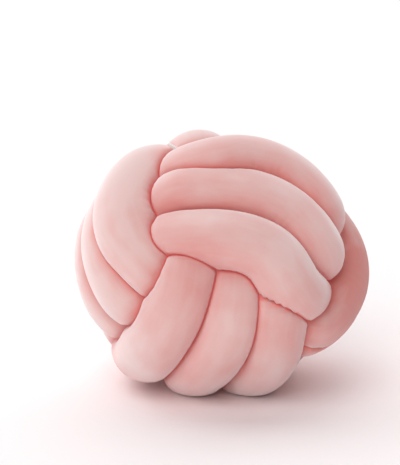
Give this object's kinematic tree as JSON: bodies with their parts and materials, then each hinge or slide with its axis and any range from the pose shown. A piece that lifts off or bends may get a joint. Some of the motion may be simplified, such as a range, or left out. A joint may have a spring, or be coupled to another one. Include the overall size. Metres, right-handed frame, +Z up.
{
  "type": "knot cushion",
  "caption": "Ball-shaped knot cushion: a long stuffed velvet tube tied into a ball, its bulging passes lying side by side, with a small blank folded label.",
  "frame": {"origin": "on the surface it rests on, under the middle of the ball's bounding box", "axes": "+Z up; +X to the right as the cushion is seen from its front, where the level passes lie over the upright ones; +Y from that front to the back"},
  "size_m": [0.2978, 0.2934, 0.2571],
  "materials": {
    "velvet": "short-pile blush pink velvet, matte with pale rims where the pile catches the light",
    "label_tape": "plain white woven tape, blank"
  },
  "bodies": {
    "root": {"knot_tube": "velvet", "label_loop": "label_tape"}
  },
  "joints": []
}
